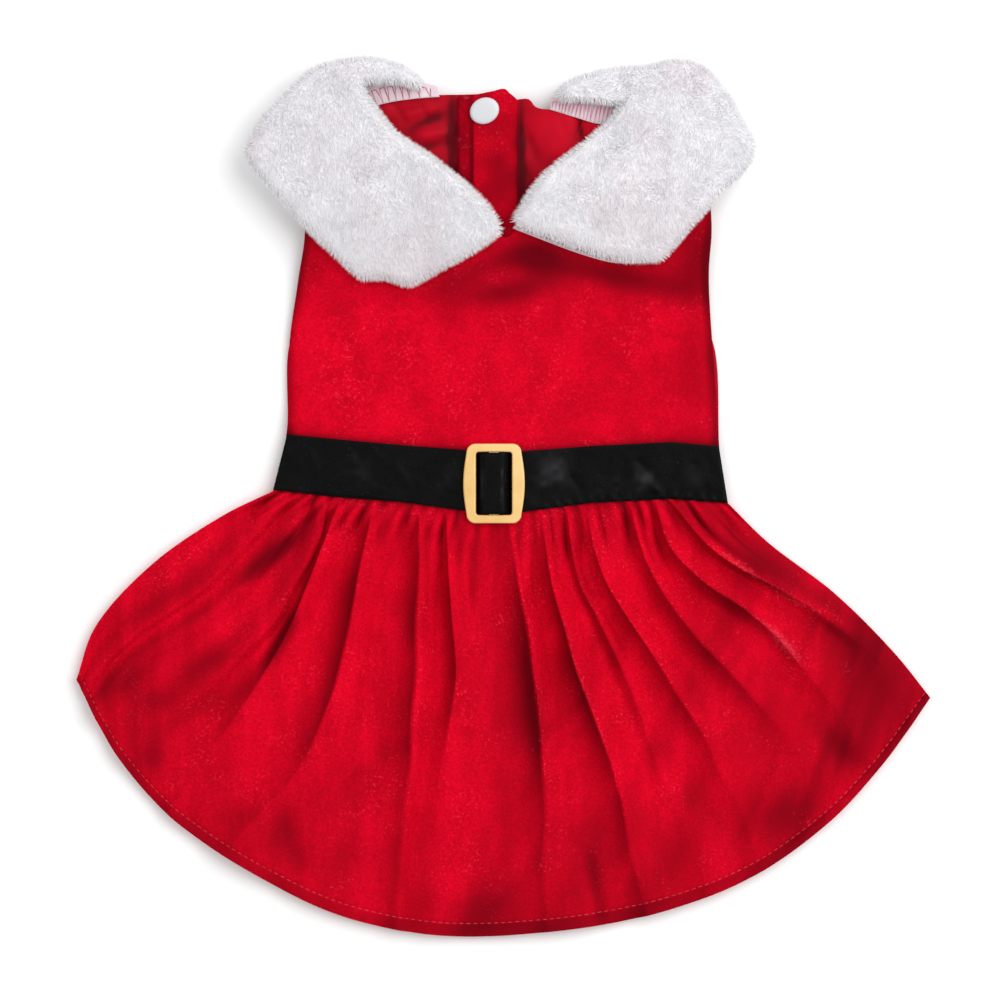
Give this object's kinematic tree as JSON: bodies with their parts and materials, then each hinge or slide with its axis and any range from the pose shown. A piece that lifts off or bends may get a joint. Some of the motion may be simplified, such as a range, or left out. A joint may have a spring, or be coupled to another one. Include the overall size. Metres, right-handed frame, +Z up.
{
  "type": "pet santa costume",
  "caption": "Sleeveless pet dress laid flat: velvet bodice and gathered skirt, turned-out fur collar, satin belt with slide buckle.",
  "frame": {"origin": "on the surface the costume lies on, under the middle of its outline", "axes": "+Z up out of the surface, +Y from the hem towards the neck, +X to the right in the picture"},
  "size_m": [0.342, 0.3514, 0.019],
  "materials": {
    "velvet": "crushed velvet nap",
    "velvet_inside": "smooth woven back of the velvet",
    "satin": "satin ribbon",
    "fur": "long pile",
    "gold_plastic": "pale gold satin",
    "snap_plastic": "glossy white"
  },
  "bodies": {
    "root": {"skirt_front": "velvet", "skirt_back": "velvet", "bodice_front": "velvet", "back_left": "velvet_inside", "back_right": "velvet_inside", "placket": "velvet", "snap_cap": "snap_plastic", "snap_cap_outer": "snap_plastic", "belt_front": "satin", "belt_back": "satin", "buckle": "gold_plastic", "collar_left": "fur", "collar_right": "fur"}
  },
  "joints": []
}
